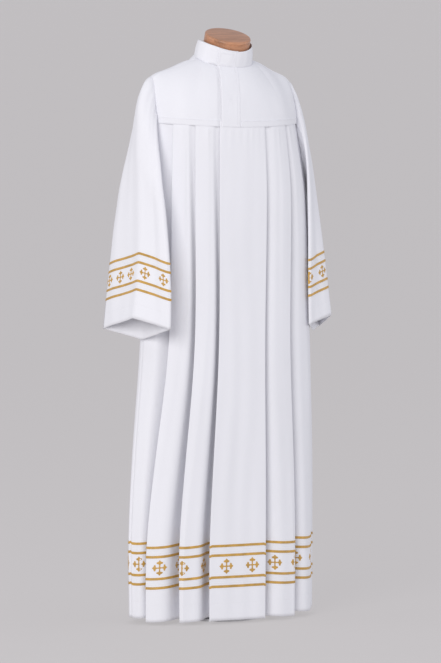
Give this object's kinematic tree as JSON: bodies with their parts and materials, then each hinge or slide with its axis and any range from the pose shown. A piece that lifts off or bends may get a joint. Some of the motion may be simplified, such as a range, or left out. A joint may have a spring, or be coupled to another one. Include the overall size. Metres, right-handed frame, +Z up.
{
  "type": "alb robe on a limbless dress form",
  "caption": "Floor-length white alb with a yoke, stand collar, pleated skirt and wide open sleeves, worn on a limbless dress form on a slim stand.",
  "frame": {"origin": "centre of the stand base's flat underside", "axes": "+Z up through the robe; the robe faces -Y; the wearer's left is +X"},
  "size_m": [0.6518, 0.2774, 1.5396],
  "materials": {
    "cloth": "plain woven, matt, with gold embroidery in the render",
    "jersey": "fine stretch cover",
    "wood": "satin varnish",
    "steel": "satin paint"
  },
  "bodies": {
    "root": {"front_right": "cloth", "front_left": "cloth", "back": "cloth", "yoke_front_right": "cloth", "yoke_front_left": "cloth", "yoke_back": "cloth", "collar": "cloth", "sleeve_right": "cloth", "sleeve_left": "cloth", "dress_form": "jersey", "neck_block": "wood", "stand_pole": "steel", "stand_base": "steel"}
  },
  "joints": []
}
